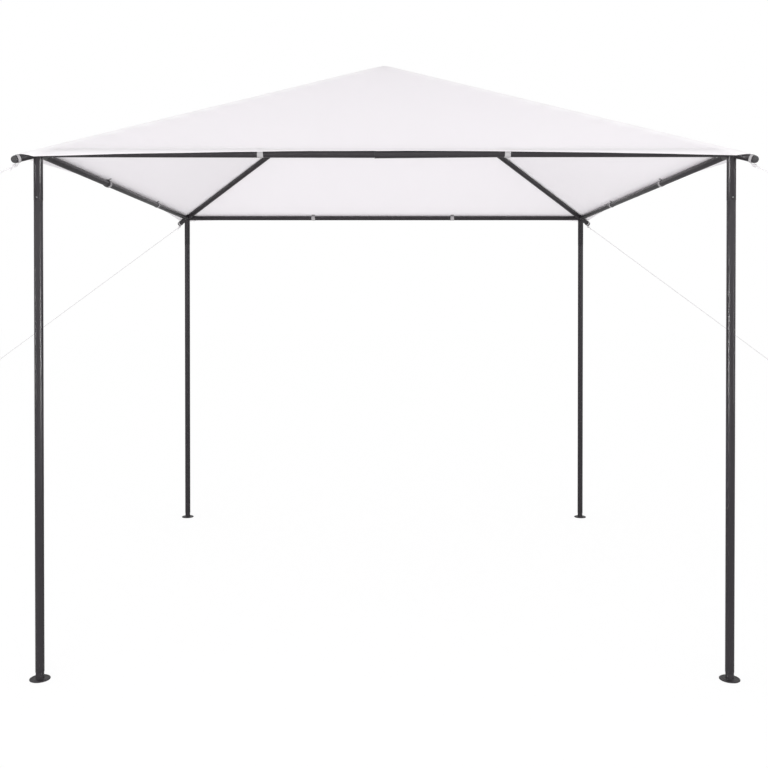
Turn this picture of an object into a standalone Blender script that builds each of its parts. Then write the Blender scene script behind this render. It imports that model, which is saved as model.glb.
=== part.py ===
"""Garden gazebo: a square frame of painted steel tube with a stretched white fabric roof and guy ropes.

Metres, Z up. The origin is on the ground, under the middle of the roof. X runs along the front and Y to the
rear. Each sub-part is one named object in the collection "garden_gazebo".
"""

from math import acos, atan, cos, pi, radians, sin

import bmesh
import bpy
from mathutils import Matrix, Vector

# The frame
POST_SPACING = 3.0
HEADER_HEIGHT = 2.283
CROWN_HEIGHT = 3.036
POST_JOINT_HEIGHT = 2.080
POST_RADIUS = 0.019
TUBE_RADIUS = 0.016
SLEEVE_RADIUS = 0.0195
ARM_LENGTH = 0.084
HEADER_JOINT_OFFSET = 0.044

# The foot plates: a flat middle, a groove round it and a rolled rim
PLATE_RADIUS = 0.044
PLATE_THICKNESS = 0.006
PLATE_RING_RADIUS = 0.0265
PLATE_GROOVE_RADIUS = 0.0335
PLATE_GROOVE_HEIGHT = 0.0033
PLATE_RIM_RADIUS = 0.0395
STUB_RADIUS = 0.0178
STUB_HEIGHT = 0.026

# The tails past the corners, measured along X or Y from the corner's axis
TAIL_REACH = 0.070
CAP_RIM_RADIUS = 0.0166
CAP_RIM_LENGTH = 0.003
CAP_LENGTH = 0.019

# The roof
FABRIC_THICKNESS = 0.003
CROWN_FLAT = 0.014
HEM_REACH_MIDDLE = 1.524
HEM_REACH_CORNER = 1.563
LOOP_REACH = 0.056
LOOP_WIDTH = 0.012
LOOP_THICKNESS = 0.0018
HUB_RADIUS = 0.024
HUB_DEPTH = 0.056

# The hem straps, with each side's places along X or Y
STRAP_PLACES = {
    "front": (-0.538, 0.531),
    "right": (-0.517, 0.554),
    "rear": (-0.538, 0.520),
    "left": (-0.505, 0.567),
}
STRAP_WIDTH = 0.025
STRAP_THICKNESS = 0.0035

# The guy ropes and pegs
PEG_PLACE = Vector((5.10, 3.15, 0.0))
PEG_RADIUS = 0.003
PEG_HEIGHT = 0.048
PEG_HOOK_RADIUS = 0.011
PEG_HOOK_END = 0.006
ROPE_RADIUS = 0.0025
ROPE_HEIGHT_AT_PEG = 0.022
SLIDER_SIZE = Vector((0.045, 0.012, 0.008))
SLIDER_DISTANCE = 0.55

# Gap between pieces that touch
GAP = 0.0003

HALF = POST_SPACING / 2
ROOF_SLOPE = (CROWN_HEIGHT - HEADER_HEIGHT) / HALF
ROOF_PITCH = atan(ROOF_SLOPE)
CORNERS = {"front_left": (-1, -1), "front_right": (1, -1), "rear_right": (1, 1), "rear_left": (-1, 1)}
SIDES = {"front": (0, -1), "right": (1, 0), "rear": (0, 1), "left": (-1, 0)}


def empty_scene():
    """Remove what the new file holds, and make the collections for the gazebo and for its cutters."""
    for item in list(bpy.data.objects):
        bpy.data.objects.remove(item, do_unlink=True)
    collections = []
    for name in ("garden_gazebo", "cutters"):
        collection = bpy.data.collections.new(name)
        bpy.context.scene.collection.children.link(collection)
        collections.append(collection)
    return collections


PARTS, CUTTERS = empty_scene()


def material(name, colour, roughness, metallic=0.0):
    """A plain finish with the colour, roughness and metallic value of the real surface."""
    finish = bpy.data.materials.new(name)
    finish.use_nodes = True
    shader = finish.node_tree.nodes["Principled BSDF"]
    shader.inputs["Base Color"].default_value = (*colour, 1.0)
    shader.inputs["Roughness"].default_value = roughness
    shader.inputs["Metallic"].default_value = metallic
    return finish


def finish_object(item, name, colour, collection=PARTS):
    """Name an object, give it its material and move it to its collection."""
    item.name = name
    item.data.name = name
    item.data.materials.clear()
    item.data.materials.append(colour)
    for old in list(item.users_collection):
        old.objects.unlink(item)
    collection.objects.link(item)
    if collection == CUTTERS:
        item.hide_render = True
        item.display_type = "WIRE"
    return item


def rod(name, start, end, radius, sides, colour, collection=PARTS):
    """A straight round bar from one point to another."""
    run = Vector(end) - Vector(start)
    bpy.ops.mesh.primitive_cylinder_add(
        vertices=sides, radius=radius, depth=run.length, location=Vector(start) + run / 2
    )
    item = bpy.context.object
    item.rotation_euler = run.to_track_quat("Z", "Y").to_euler()
    item.data.set_sharp_from_angle(angle=radians(40))
    return finish_object(item, name, colour, collection)


def turned(name, profile, steps, colour):
    """A solid turned round Z. The profile's (radius, height) points run down the outer side."""
    mesh = bpy.data.meshes.new(name)
    points = [(radius, 0.0, height) for radius, height in profile]
    mesh.from_pydata(points, [(i, i + 1) for i in range(len(points) - 1)], [])
    item = bpy.data.objects.new(name, mesh)
    PARTS.objects.link(item)
    screw = item.modifiers.new("turn", "SCREW")
    screw.steps = steps
    screw.render_steps = steps
    screw.use_merge_vertices = True
    screw.merge_threshold = 0.0001
    return finish_object(item, name, colour)


def wire(name, points, radius, colour):
    """A bent round bar along a list of points, made a closed mesh."""
    curve = bpy.data.curves.new(name, "CURVE")
    curve.dimensions = "3D"
    curve.bevel_depth = radius
    curve.bevel_resolution = 2
    curve.use_fill_caps = True
    spline = curve.splines.new("POLY")
    spline.points.add(len(points) - 1)
    for point, place in zip(spline.points, points):
        point.co = (*place, 1.0)
    draft = bpy.data.objects.new(name + "_curve", curve)
    PARTS.objects.link(draft)
    evaluated = draft.evaluated_get(bpy.context.evaluated_depsgraph_get())
    mesh = bpy.data.meshes.new_from_object(evaluated)
    shape = bmesh.new()
    shape.from_mesh(mesh)
    bmesh.ops.remove_doubles(shape, verts=shape.verts, dist=0.00001)
    bmesh.ops.recalc_face_normals(shape, faces=shape.faces)
    shape.to_mesh(mesh)
    shape.free()
    item = bpy.data.objects.new(name, mesh)
    item.matrix_world = draft.matrix_world
    bpy.data.objects.remove(draft, do_unlink=True)
    PARTS.objects.link(item)
    return finish_object(item, name, colour)


def join(base, others):
    """Join solids that run into the base object, each with a Boolean union."""
    for other in others:
        union = base.modifiers.new("join_" + other.name, "BOOLEAN")
        union.operation = "UNION"
        union.solver = "EXACT"
        union.object = other
    return base


def corner_point(corner, reach=0.0):
    """A point on a hip tube's axis, `reach` metres outside the corner's axis along X and along Y."""
    x, y = CORNERS[corner]
    return Vector((x * (HALF + reach), y * (HALF + reach), HEADER_HEIGHT - ROOF_SLOPE * reach))


def hip_direction(corner):
    """The unit vector up along a hip tube, from its corner to the crown."""
    return (Vector((0.0, 0.0, CROWN_HEIGHT)) - corner_point(corner)).normalized()


def posts_and_feet(steel):
    """One tube to a corner. It stands on the stub of a dished round plate."""
    profile = [
        (0.0, PLATE_THICKNESS + STUB_HEIGHT),
        (STUB_RADIUS, PLATE_THICKNESS + STUB_HEIGHT),
        (STUB_RADIUS, PLATE_THICKNESS),
        (PLATE_RING_RADIUS, PLATE_THICKNESS),
        (PLATE_GROOVE_RADIUS, PLATE_GROOVE_HEIGHT),
        (PLATE_RIM_RADIUS, PLATE_THICKNESS),
        (PLATE_RADIUS, PLATE_GROOVE_HEIGHT),
        (PLATE_RADIUS, 0.0),
        (0.0, 0.0),
    ]
    for corner, (x, y) in CORNERS.items():
        plate = turned("foot_plate_" + corner, profile, 24, steel)
        plate.location = (x * HALF, y * HALF, 0.0)
        bottom = Vector((x * HALF, y * HALF, PLATE_THICKNESS + STUB_HEIGHT + GAP))
        top = Vector((x * HALF, y * HALF, POST_JOINT_HEIGHT - GAP))
        rod("post_" + corner, bottom, top, POST_RADIUS, 32, steel)


def corner_fittings(steel):
    """A sleeve on the post, an arm along each header, and one tube that is the hip's arm and the tail."""
    for corner, (x, y) in CORNERS.items():
        centre = corner_point(corner)
        foot = Vector((centre.x, centre.y, POST_JOINT_HEIGHT))
        sleeve = rod("corner_fitting_" + corner, foot, centre, SLEEVE_RADIUS, 32, steel)
        arm_x = centre - Vector((x * (ARM_LENGTH - GAP), 0.0, 0.0))
        arm_y = centre - Vector((0.0, y * (ARM_LENGTH - GAP), 0.0))
        arm_hip = centre + hip_direction(corner) * (ARM_LENGTH - GAP)
        tail = corner_point(corner, TAIL_REACH)
        arms = [
            rod("arm_x_" + corner, centre, arm_x, TUBE_RADIUS, 24, steel, CUTTERS),
            rod("arm_y_" + corner, centre, arm_y, TUBE_RADIUS, 24, steel, CUTTERS),
            rod("arm_hip_" + corner, tail, arm_hip, TUBE_RADIUS, 24, steel, CUTTERS),
        ]
        join(sleeve, arms)


def header_tubes(steel):
    """Two tubes to a side, joined a little off the middle."""
    end = HALF - ARM_LENGTH - GAP
    for side, (x, y) in SIDES.items():
        outward = Vector((x, y, 0.0))
        along = Vector((-y, x, 0.0))
        middle = outward * HALF + Vector((0.0, 0.0, HEADER_HEIGHT))
        joint = -HEADER_JOINT_OFFSET
        first = middle - along * end, middle + along * (joint - GAP)
        second = middle + along * (joint + GAP), middle + along * end
        rod("header_" + side + "_a", *first, TUBE_RADIUS, 24, steel)
        rod("header_" + side + "_b", *second, TUBE_RADIUS, 24, steel)


def hip_tubes(steel):
    """One tube from each corner fitting up to the crown hub."""
    crown = Vector((0.0, 0.0, CROWN_HEIGHT))
    for corner in CORNERS:
        direction = hip_direction(corner)
        start = corner_point(corner) + direction * (ARM_LENGTH + GAP)
        end = crown - direction * (ARM_LENGTH + GAP)
        rod("hip_tube_" + corner, start, end, TUBE_RADIUS, 24, steel)


def fabric_underside(reach):
    """Height of the fabric's underside at a distance from the middle: it lies on the headers and the hips."""
    return HEADER_HEIGHT + ROOF_SLOPE * (HALF - reach) + (TUBE_RADIUS + GAP) / cos(ROOF_PITCH)


def crown_hub(steel):
    """A short upright drum with a low coned top, and an arm into each hip tube."""
    top = fabric_underside(CROWN_FLAT) - GAP
    shoulder = fabric_underside(HUB_RADIUS) - GAP
    profile = [
        (0.0, top),
        (CROWN_FLAT - GAP, top),
        (HUB_RADIUS, shoulder - GAP),
        (HUB_RADIUS, CROWN_HEIGHT - HUB_DEPTH),
        (0.0, CROWN_HEIGHT - HUB_DEPTH),
    ]
    hub = turned("crown_hub", profile, 24, steel)
    crown = Vector((0.0, 0.0, CROWN_HEIGHT))
    arms = []
    for corner in CORNERS:
        end = crown - hip_direction(corner) * (ARM_LENGTH - GAP)
        start = crown - hip_direction(corner) * (HUB_RADIUS / 2)
        arms.append(rod("hub_arm_" + corner, start, end, TUBE_RADIUS, 24, steel, CUTTERS))
    join(hub, arms)


def tail_caps(plastic):
    """A domed plug in the end of each tail."""
    dome_steps = 4
    dome_length = CAP_LENGTH - CAP_RIM_LENGTH
    profile = []
    for i in range(dome_steps):
        angle = pi / 2 * i / dome_steps
        profile.append((CAP_RIM_RADIUS * sin(angle), CAP_RIM_LENGTH + dome_length * cos(angle)))
    profile += [(CAP_RIM_RADIUS, CAP_RIM_LENGTH), (CAP_RIM_RADIUS, 0.0), (0.0, 0.0)]
    for corner in CORNERS:
        outward = -hip_direction(corner)
        cap = turned("tail_cap_" + corner, profile, 16, plastic)
        cap.location = corner_point(corner, TAIL_REACH) + outward * GAP
        cap.rotation_euler = outward.to_track_quat("Z", "Y").to_euler()


def roof_fabric(cloth):
    """Four flat panels stretched over the headers and hips, with curved hems and a loop round each tail."""
    bpy.ops.mesh.primitive_cone_add(vertices=32, radius1=1.0, radius2=0.5, depth=1.0, end_fill_type="NOTHING")
    roof = finish_object(bpy.context.object, "roof_fabric", cloth)
    shape = bmesh.new()
    shape.from_mesh(roof.data)
    for vertex in shape.verts:
        at_hem = vertex.co.z < 0.0
        direction = vertex.co.xy.normalized()
        square = max(abs(direction.x), abs(direction.y))
        plan = direction / square
        across = min(abs(plan.x), abs(plan.y))
        if at_hem:
            reach = HEM_REACH_MIDDLE + (HEM_REACH_CORNER - HEM_REACH_MIDDLE) * across ** 2
        else:
            reach = CROWN_FLAT
        vertex.co = (plan.x * reach, plan.y * reach, fabric_underside(reach))
    middle_height = (HEADER_HEIGHT + CROWN_HEIGHT) / 2
    rim = [edge for edge in shape.edges if edge.is_boundary and edge.verts[0].co.z > middle_height]
    bmesh.ops.contextual_create(shape, geom=rim)
    bmesh.ops.recalc_face_normals(shape, faces=shape.faces)
    shape.to_mesh(roof.data)
    shape.free()
    thickness = roof.modifiers.new("thickness", "SOLIDIFY")
    thickness.thickness = FABRIC_THICKNESS
    thickness.offset = 1.0
    loops = []
    for corner in CORNERS:
        outward = -hip_direction(corner)
        middle = corner_point(corner, LOOP_REACH)
        bpy.ops.mesh.primitive_cylinder_add(
            vertices=24, radius=TUBE_RADIUS + GAP + LOOP_THICKNESS, depth=LOOP_WIDTH, end_fill_type="NOTHING",
            location=middle,
        )
        loop = finish_object(bpy.context.object, "loop_" + corner, cloth, CUTTERS)
        loop.rotation_euler = outward.to_track_quat("Z", "Y").to_euler()
        wall = loop.modifiers.new("wall", "SOLIDIFY")
        wall.thickness = LOOP_THICKNESS
        wall.offset = -1.0
        loops.append(loop)
    join(roof, loops)


def hem_straps(webbing):
    """Two to a side: a band sewn under the hem and wrapped round the header, open where the cloth lies."""
    sides = 40
    inner_radius = TUBE_RADIUS + GAP
    mouth = acos(inner_radius / (inner_radius + STRAP_THICKNESS))
    for side, places in STRAP_PLACES.items():
        x, y = SIDES[side]
        outward = Vector((x, y, 0.0))
        along = Vector((abs(y), abs(x), 0.0))
        cloth_normal = outward * sin(ROOF_PITCH) + Vector((0.0, 0.0, cos(ROOF_PITCH)))
        turn = Matrix((cloth_normal, along.cross(cloth_normal), along)).transposed()
        for number, place in enumerate(places, start=1):
            bpy.ops.mesh.primitive_cylinder_add(
                vertices=sides, radius=inner_radius, depth=STRAP_WIDTH, end_fill_type="NOTHING"
            )
            strap = finish_object(bpy.context.object, "hem_strap_%s_%d" % (side, number), webbing)
            strap.location = outward * HALF + along * place + Vector((0.0, 0.0, HEADER_HEIGHT))
            strap.rotation_euler = turn.to_euler()
            shape = bmesh.new()
            shape.from_mesh(strap.data)
            open_side = inner_radius * cos(mouth + pi / sides)
            covered = [face for face in shape.faces if face.calc_center_median().x > open_side]
            bmesh.ops.delete(shape, geom=covered, context="FACES")
            shape.to_mesh(strap.data)
            shape.free()
            strap.data.shade_smooth()
            strap.data.set_sharp_from_angle(angle=radians(40))
            wall = strap.modifiers.new("wall", "SOLIDIFY")
            wall.thickness = STRAP_THICKNESS
            wall.offset = 1.0


def guy_ropes_and_pegs(rope_fibre, wire_steel):
    """A taut rope from each tail to a hooked peg. Only what stands above the ground is made of the peg."""
    bend_steps = 6
    for corner, (x, y) in CORNERS.items():
        peg_place = Vector((x * PEG_PLACE.x, y * PEG_PLACE.y, 0.0))
        tail = corner_point(corner, LOOP_REACH)
        outward = Vector((peg_place.x - tail.x, peg_place.y - tail.y, 0.0)).normalized()
        hook_centre = peg_place + outward * PEG_HOOK_RADIUS + Vector((0.0, 0.0, PEG_HEIGHT - PEG_HOOK_RADIUS))
        points = [peg_place, peg_place + Vector((0.0, 0.0, hook_centre.z / 2))]
        for i in range(bend_steps + 1):
            angle = pi * (1.0 - i / bend_steps)
            swing = outward * cos(angle) + Vector((0.0, 0.0, sin(angle)))
            points.append(hook_centre + swing * PEG_HOOK_RADIUS)
        points.append(points[-1] - Vector((0.0, 0.0, PEG_HOOK_END)))
        wire("ground_peg_" + corner, points, PEG_RADIUS, wire_steel)

        under_tail = TUBE_RADIUS + 2 * GAP + LOOP_THICKNESS + ROPE_RADIUS
        slope_normal = hip_direction(corner).cross(Vector((-y, x, 0.0)) * (x * y)).normalized()
        if slope_normal.z < 0.0:
            slope_normal = -slope_normal
        top = tail - slope_normal * under_tail
        aim = peg_place + Vector((0.0, 0.0, ROPE_HEIGHT_AT_PEG))
        direction = (aim - top).normalized()
        level_part = direction.xy.length
        bottom = aim - direction * (PEG_RADIUS + GAP - ROPE_RADIUS * direction.z) / level_part
        rope = rod("guy_rope_" + corner, top, bottom, ROPE_RADIUS, 8, rope_fibre)
        bpy.ops.mesh.primitive_cube_add(size=1.0, location=bottom - direction * SLIDER_DISTANCE)
        slider = finish_object(bpy.context.object, "slider_" + corner, rope_fibre, CUTTERS)
        slider.scale = SLIDER_SIZE
        slider.rotation_euler = direction.to_track_quat("X", "Z").to_euler()
        join(rope, [slider])


def build():
    """Make every sub-part of the gazebo."""
    steel = material("dark_grey_paint", (0.060, 0.058, 0.062), 0.42, 0.3)
    cap_plastic = material("black_plastic", (0.035, 0.034, 0.036), 0.45)
    cloth = material("white_fabric", (0.86, 0.85, 0.86), 0.75)
    webbing = material("white_webbing", (0.72, 0.72, 0.72), 0.7)
    rope_fibre = material("white_rope", (0.80, 0.80, 0.80), 0.8)
    wire_steel = material("zinc_wire", (0.55, 0.55, 0.56), 0.35, 0.9)
    posts_and_feet(steel)
    corner_fittings(steel)
    header_tubes(steel)
    hip_tubes(steel)
    crown_hub(steel)
    tail_caps(cap_plastic)
    roof_fabric(cloth)
    hem_straps(webbing)
    guy_ropes_and_pegs(rope_fibre, wire_steel)


build()
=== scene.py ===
from math import atan, cos, floor, pi, radians, sin, sqrt, tau

import bmesh
import bpy
from mathutils import Matrix, Vector, noise


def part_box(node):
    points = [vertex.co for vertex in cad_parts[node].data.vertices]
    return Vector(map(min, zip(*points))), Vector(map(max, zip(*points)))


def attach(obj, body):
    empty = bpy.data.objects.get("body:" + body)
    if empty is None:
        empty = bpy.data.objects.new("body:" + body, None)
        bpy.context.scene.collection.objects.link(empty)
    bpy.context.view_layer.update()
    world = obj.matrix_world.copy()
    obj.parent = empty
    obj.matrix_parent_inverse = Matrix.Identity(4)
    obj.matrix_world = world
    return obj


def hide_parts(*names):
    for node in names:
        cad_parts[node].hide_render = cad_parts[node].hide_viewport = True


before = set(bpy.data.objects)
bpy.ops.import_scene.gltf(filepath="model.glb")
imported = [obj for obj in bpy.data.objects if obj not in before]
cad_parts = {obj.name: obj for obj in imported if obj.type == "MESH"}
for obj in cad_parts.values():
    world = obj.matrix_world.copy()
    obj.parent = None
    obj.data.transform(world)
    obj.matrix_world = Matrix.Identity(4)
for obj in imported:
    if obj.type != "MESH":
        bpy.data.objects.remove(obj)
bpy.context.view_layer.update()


# The studio: a pale floor that runs out of sight, and soft white light from above and all round.
# The camera stands 3.9 m in front of the gazebo, at the eye height of someone standing.
class Socket:
    """An output of a shader node. Sums on it add Math nodes to the same node tree."""

    def __init__(self, tree, output=None):
        self.tree = tree
        self.output = output

    def node(self, kind, settings=None, values=None, output=0):
        """Add any other node: its settings are set first, and then its sockets get their values or links."""
        made = self.tree.nodes.new("ShaderNode" + kind)
        for name, value in (settings or {}).items():
            setattr(made, name, value)
        for name, value in (values or {}).items():
            if isinstance(value, Socket):
                self.tree.links.new(value.output, made.inputs[name])
            else:
                made.inputs[name].default_value = value
        return Socket(self.tree, made.outputs[output])

    def into(self, shader, name):
        """Link this output to a socket of a shader node."""
        self.tree.links.new(self.output, shader.inputs[name])

    def math(self, operation, first, second=0.0):
        return self.node("Math", {"operation": operation}, {0: first, 1: second})

    def smooth(self, start, end, low=0.0, high=1.0):
        """A smooth change from `low` to `high` while this value goes from `start` to `end`."""
        values = {0: self, 1: start, 2: end, 3: low, 4: high}
        return self.node("MapRange", {"interpolation_type": "SMOOTHSTEP"}, values)

    def __add__(self, other):
        return self.math("ADD", self, other)

    def __sub__(self, other):
        return self.math("SUBTRACT", self, other)

    def __rsub__(self, other):
        return self.math("SUBTRACT", other, self)

    def __mul__(self, other):
        return self.math("MULTIPLY", self, other)

    __radd__ = __add__
    __rmul__ = __mul__


CAMERA_PLACE = (-0.008, -5.442, 1.636)
CAMERA_TURN = (89.5, 0.0, 0.057)
CAMERA_LENS = 42.63
CAMERA_SHIFT = (0.0027, -0.0951)
bpy.ops.object.select_all(action="DESELECT")
bpy.ops.object.camera_add(location=CAMERA_PLACE, rotation=[radians(angle) for angle in CAMERA_TURN])
camera = bpy.context.object
camera.data.lens = CAMERA_LENS
camera.data.shift_x, camera.data.shift_y = CAMERA_SHIFT
bpy.context.scene.camera = camera
bpy.context.scene.view_settings.view_transform = "Standard"

# The picture sees mostly the floor's own even white. The pieces get its glow, and reflections show it dimmed.
WHITE = (1.0, 1.0, 1.0, 1.0)
FLOOR_SIZE = 90.0
FLOOR_BRIGHTNESS = 1.03
FLOOR_WHITENESS = 0.85
FLOOR_DIMMING = 0.5
FLOOR_GLOW = 1.08
bpy.ops.mesh.primitive_plane_add(size=FLOOR_SIZE)
studio_floor = bpy.context.object
studio_floor.name = "studio_floor"
floor_finish = bpy.data.materials.new("pale studio floor")
floor_finish.use_nodes = True
floor_shader = floor_finish.node_tree.nodes["Principled BSDF"]
floor_shader.inputs["Base Color"].default_value = (0.90, 0.90, 0.90, 1.0)
floor_shader.inputs["Roughness"].default_value = 0.9
floor_shader.inputs["Specular IOR Level"].default_value = 0.1
paint = Socket(floor_finish.node_tree)
glow = paint.node("Emission", None, {"Color": WHITE, "Strength": FLOOR_BRIGHTNESS})
seen = paint.node("LightPath", output="Is Camera Ray")
mixed = paint.node("MixShader", None, {0: seen * FLOOR_WHITENESS, 2: glow})
paint.tree.links.new(floor_shader.outputs[0], mixed.output.node.inputs[1])
underlight = paint.node("Emission", None, {"Color": WHITE, "Strength": FLOOR_GLOW})
bounced = paint.node("LightPath", output="Is Diffuse Ray")
mixed = paint.node("MixShader", None, {0: bounced, 1: mixed, 2: underlight})
mirrored = paint.node("LightPath", output="Is Glossy Ray")
dimmed = paint.node("Emission", None, {"Color": WHITE, "Strength": 0.0})
mixed = paint.node("MixShader", None, {0: mirrored * FLOOR_DIMMING, 1: mixed, 2: dimmed})
mixed.into(paint.tree.nodes["Material Output"], "Surface")
floor_finish.cycles.emission_sampling = "NONE"
studio_floor.data.materials.append(floor_finish)

HORIZON_LIGHT = 0.50
OVERHEAD_LIGHT = 0.94
FRONT_LIGHT = 1.0
LOW_MIRRORED = 0.35
world = bpy.data.worlds.new("studio")
bpy.context.scene.world = world
world.use_nodes = True
sky = Socket(world.node_tree)
direction = sky.node("TexCoord", output="Generated")
toward = sky.node("SeparateXYZ", values={0: direction}, output="Y")
up = sky.node("SeparateXYZ", values={0: direction}, output="Z")
soft_light = up.smooth(0.0, 0.8, HORIZON_LIGHT, OVERHEAD_LIGHT)
in_front = toward.smooth(-0.35, -0.95)
not_high = up.smooth(0.75, 0.25)
soft_light = soft_light + in_front * not_high * FRONT_LIGHT
mirrored = sky.node("LightPath", output="Is Glossy Ray")
kept = up.smooth(0.0, 0.5, LOW_MIRRORED, 1.0)
soft_light = soft_light * (1.0 - mirrored * (1.0 - kept))
seen = sky.node("LightPath", output="Is Camera Ray")
backdrop = seen + (1.0 - seen) * soft_light
world.node_tree.nodes["Background"].inputs["Color"].default_value = WHITE
backdrop.into(world.node_tree.nodes["Background"], "Strength")


def studio_lamp(name, position, aim, width, height, power):
    """A flat soft lamp, aimed at a point, that no picture shows."""
    turn = (Vector(aim) - Vector(position)).to_track_quat("-Z", "Y")
    bpy.ops.object.light_add(type="AREA", location=position, rotation=turn.to_euler())
    lamp = bpy.context.object
    lamp.name = name
    lamp.data.shape = "RECTANGLE"
    lamp.data.size = width
    lamp.data.size_y = height
    lamp.data.energy = power
    lamp.visible_camera = False
    return lamp


fill = studio_lamp("low_fill", (-0.8, -8.6, 0.7), (0.0, 0.4, 2.3), width=3.6, height=1.4, power=410.0)
fill.visible_glossy = False
for name, side in (("left", -1), ("right", 1)):
    softbox = studio_lamp(
        "softbox_" + name, (side * 9.6, -6.0, 3.7), (-side * 1.5, -1.5, 2.4),
        width=3.2, height=2.0, power=47.0,
    )
    softbox.visible_diffuse = False
    strip = studio_lamp(
        "strip_light_" + name, (side * 9.6, -6.0, 2.9), (-side * 1.5, -1.5, 1.9),
        width=1.3, height=3.2, power=10.0,
    )
    strip.data.spread = radians(14)
    strip.visible_diffuse = False
roof_light = studio_lamp("roof_light", (4.6, -4.4, 4.6), (1.5, -1.5, 2.35), width=0.8, height=0.8, power=1.4)
roof_light.data.spread = radians(40)
roof_light.visible_glossy = False


# The posts: four one-piece steel tubes, 38 mm across, powder coated dark grey all over.
# Each slips over the stub of its foot plate, and its top end butts against a corner fitting's sleeve.
CORNERS = {"front_left": (-1, -1), "front_right": (1, -1), "rear_right": (1, 1), "rear_left": (-1, 1)}


def finish_and_shader(name):
    """A new material, a start for its maths, and its main shader."""
    finish = bpy.data.materials.new(name)
    finish.use_nodes = True
    return finish, Socket(finish.node_tree), finish.node_tree.nodes["Principled BSDF"]


def blend_colours(maths, factor, first, second):
    """A mix of two colours, which may be sockets or plain colours."""
    values = {0: factor}
    for place, colour in ((6, first), (7, second)):
        values[place] = colour if isinstance(colour, Socket) else (*colour, 1.0)
    return maths.node("Mix", {"data_type": "RGBA"}, values, output=2)


powder_coat, maths, shader = finish_and_shader("dark grey powder coat")
place = maths.node("TexCoord", output="Object")
cloudy = maths.node("TexNoise", None, {"Vector": place, "Scale": 5.0, "Detail": 3.0})
orange_peel = maths.node("TexNoise", None, {"Vector": place, "Scale": 620.0, "Detail": 2.0})
specks = maths.node("TexNoise", None, {"Vector": place, "Scale": 170.0, "Detail": 5.0, "Roughness": 0.7})
rubbed = maths.node("MapRange", None, {0: specks, 1: 0.66, 2: 0.74, 3: 0.0, 4: 1.0})
coat = blend_colours(maths, cloudy, (0.0170, 0.0145, 0.0172), (0.0230, 0.0200, 0.0233))
coat = blend_colours(maths, rubbed * 0.3, coat, (0.050, 0.046, 0.050))
coat.into(shader, "Base Color")
(0.31 + cloudy * 0.06 + rubbed * 0.03).into(shader, "Roughness")
shader.inputs["Specular IOR Level"].default_value = 0.45
texture = maths.node("Bump", None, {"Strength": 0.10, "Distance": 0.0006, "Height": orange_peel})
texture.into(shader, "Normal")


def choose(piece, kind, rule):
    """Go into edit mode and select only the faces or edges of a piece that a rule picks."""
    bpy.ops.object.mode_set(mode="EDIT")
    bpy.ops.mesh.select_mode(type=kind)
    bpy.ops.mesh.select_all(action="DESELECT")
    shape = bmesh.from_edit_mesh(piece.data)
    for element in (shape.faces if kind == "FACE" else shape.edges):
        if rule(element):
            element.select_set(True)
    bmesh.update_edit_mesh(piece.data)


def alone(piece):
    """Leave edit mode, and make a piece the only one that is selected."""
    if bpy.context.mode != "OBJECT":
        bpy.ops.object.mode_set(mode="OBJECT")
    bpy.ops.object.select_all(action="DESELECT")
    piece.select_set(True)
    bpy.context.view_layer.objects.active = piece


def settle(piece, name, *finishes, crease=35.0):
    """End a piece: its place goes into its mesh, it is shaded smooth, and it gets its finishes."""
    alone(piece)
    bpy.ops.object.transform_apply(location=True, rotation=True, scale=True)
    bpy.ops.object.shade_smooth_by_angle(angle=radians(crease))
    piece.name = name
    for finish in finishes:
        piece.data.materials.append(finish)
    return piece


def is_end(face):
    return abs(face.normal.z) > 0.9


def tube(start, end, radius, sides=48, chamfer=0.0007):
    """A straight tube between two points, with its cut ends rounded off. It keeps its own turn."""
    run = Vector(end) - Vector(start)
    bpy.ops.mesh.primitive_cylinder_add(
        vertices=sides, radius=radius, depth=run.length, location=Vector(start) + run / 2,
        rotation=run.to_track_quat("Z", "Y").to_euler(),
    )
    piece = bpy.context.object
    choose(piece, "FACE", is_end)
    bpy.ops.mesh.bevel(offset=chamfer, segments=2)
    bpy.ops.object.mode_set(mode="OBJECT")
    return piece


for corner in CORNERS:
    low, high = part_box("post_" + corner)
    middle = (low + high) / 2
    post = tube((middle.x, middle.y, low.z), (middle.x, middle.y, high.z), (high.x - low.x) / 2, sides=64)
    settle(post, "post_tube_" + corner, powder_coat)
    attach(post, "root")
    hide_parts("post_" + corner)


# The foot plates: pressed steel discs, 88 mm across, with a groove inside a rolled rim.
# A short stub is welded on the middle of each, goes up into the post, and leaves a narrow neck in sight.
def bead(points, thickness, ripple=0.10):
    """A closed weld bead along a ring of points, with the small scales that a weld has."""
    count = len(points)
    bpy.ops.curve.primitive_bezier_circle_add(radius=1.0)
    ring = bpy.context.object
    ring.data.splines.clear()
    spline = ring.data.splines.new("POLY")
    spline.points.add(count - 1)
    spline.use_cyclic_u = True
    for number, (point, co) in enumerate(zip(spline.points, points)):
        point.co = (*co, 1.0)
        point.radius = 1.0 + ripple * sin(number * tau / 3)
    ring.data.bevel_depth = thickness
    ring.data.bevel_resolution = 2
    bpy.ops.object.convert(target="MESH")
    return bpy.context.object


def work(piece, name, kind, **settings):
    """Add a modifier to a piece, and apply it."""
    alone(piece)
    step = piece.modifiers.new(name, kind)
    for setting, value in settings.items():
        setattr(step, setting, value)
    bpy.ops.object.modifier_apply(modifier=step.name)


def join(pieces):
    """Make pieces one, under the name of the first."""
    alone(pieces[0])
    for piece in pieces[1:]:
        piece.select_set(True)
    bpy.ops.object.join()
    return pieces[0]


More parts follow.
